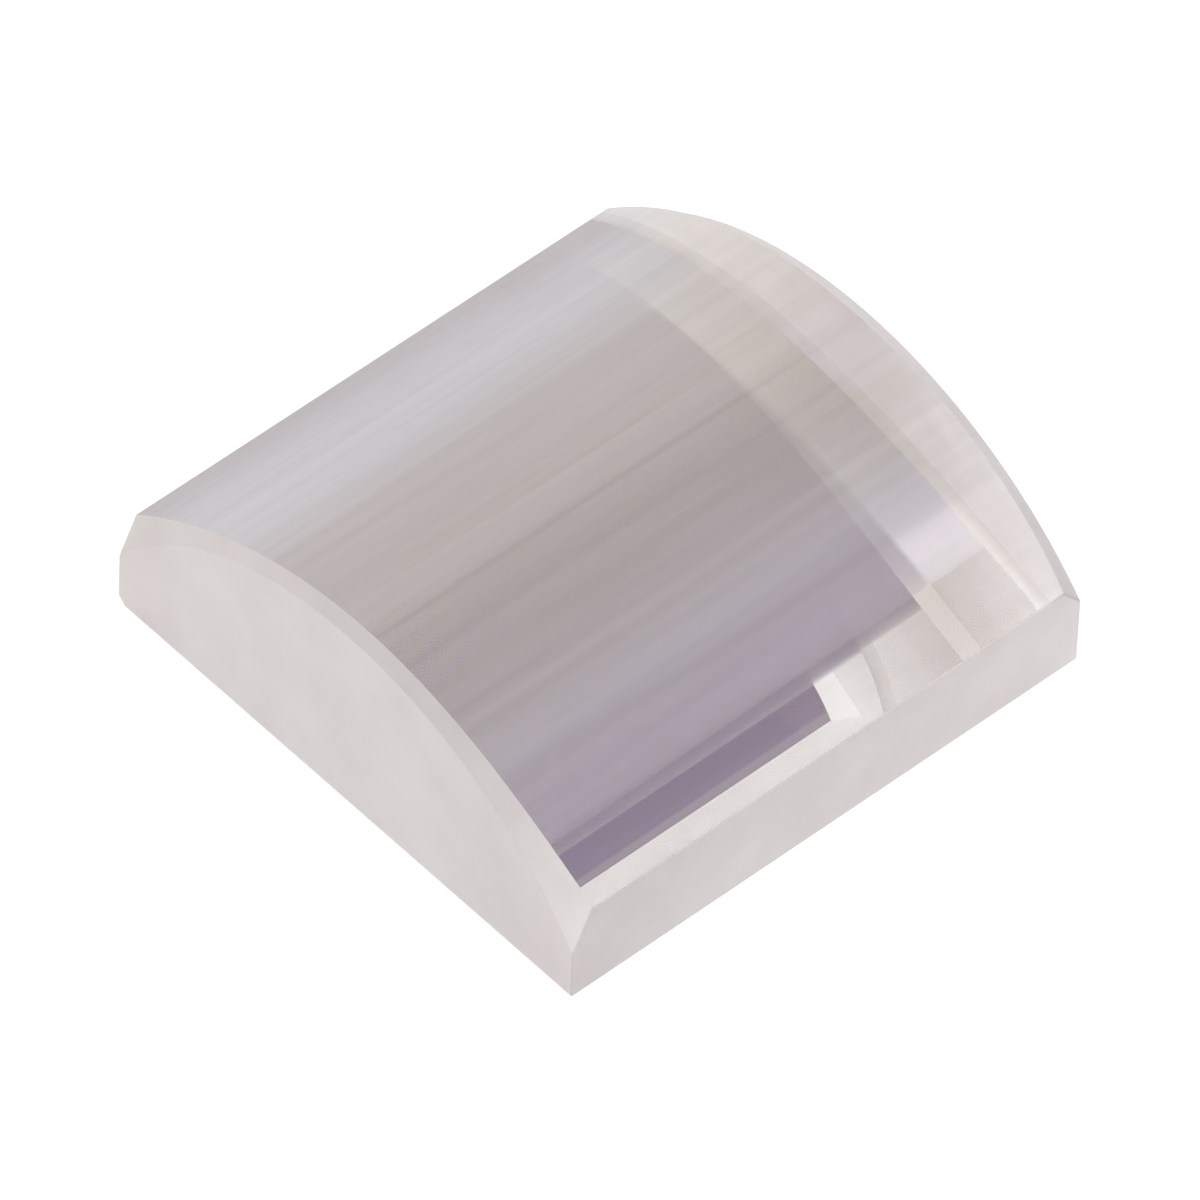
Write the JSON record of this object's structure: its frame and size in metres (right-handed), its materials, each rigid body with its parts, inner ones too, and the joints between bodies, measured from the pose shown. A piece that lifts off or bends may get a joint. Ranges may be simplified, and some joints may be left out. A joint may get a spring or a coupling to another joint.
{
  "type": "acylindrical lens",
  "caption": "Square plano-convex acylindrical lens that gathers light to a line, with polished faces, ground edges and bevelled rims.",
  "frame": {"origin": "middle of the plane face", "axes": "+X across the curve, +Y along the straight generators, +Z along the optical axis from the plane face to the convex face"},
  "size_m": [0.025, 0.025, 0.0099],
  "materials": {
    "optical_glass": "polished convex and plane faces with a faint purple anti-reflection film; fine-ground ends, sides and bevels"
  },
  "bodies": {
    "root": {"lens": "optical_glass"}
  },
  "joints": []
}
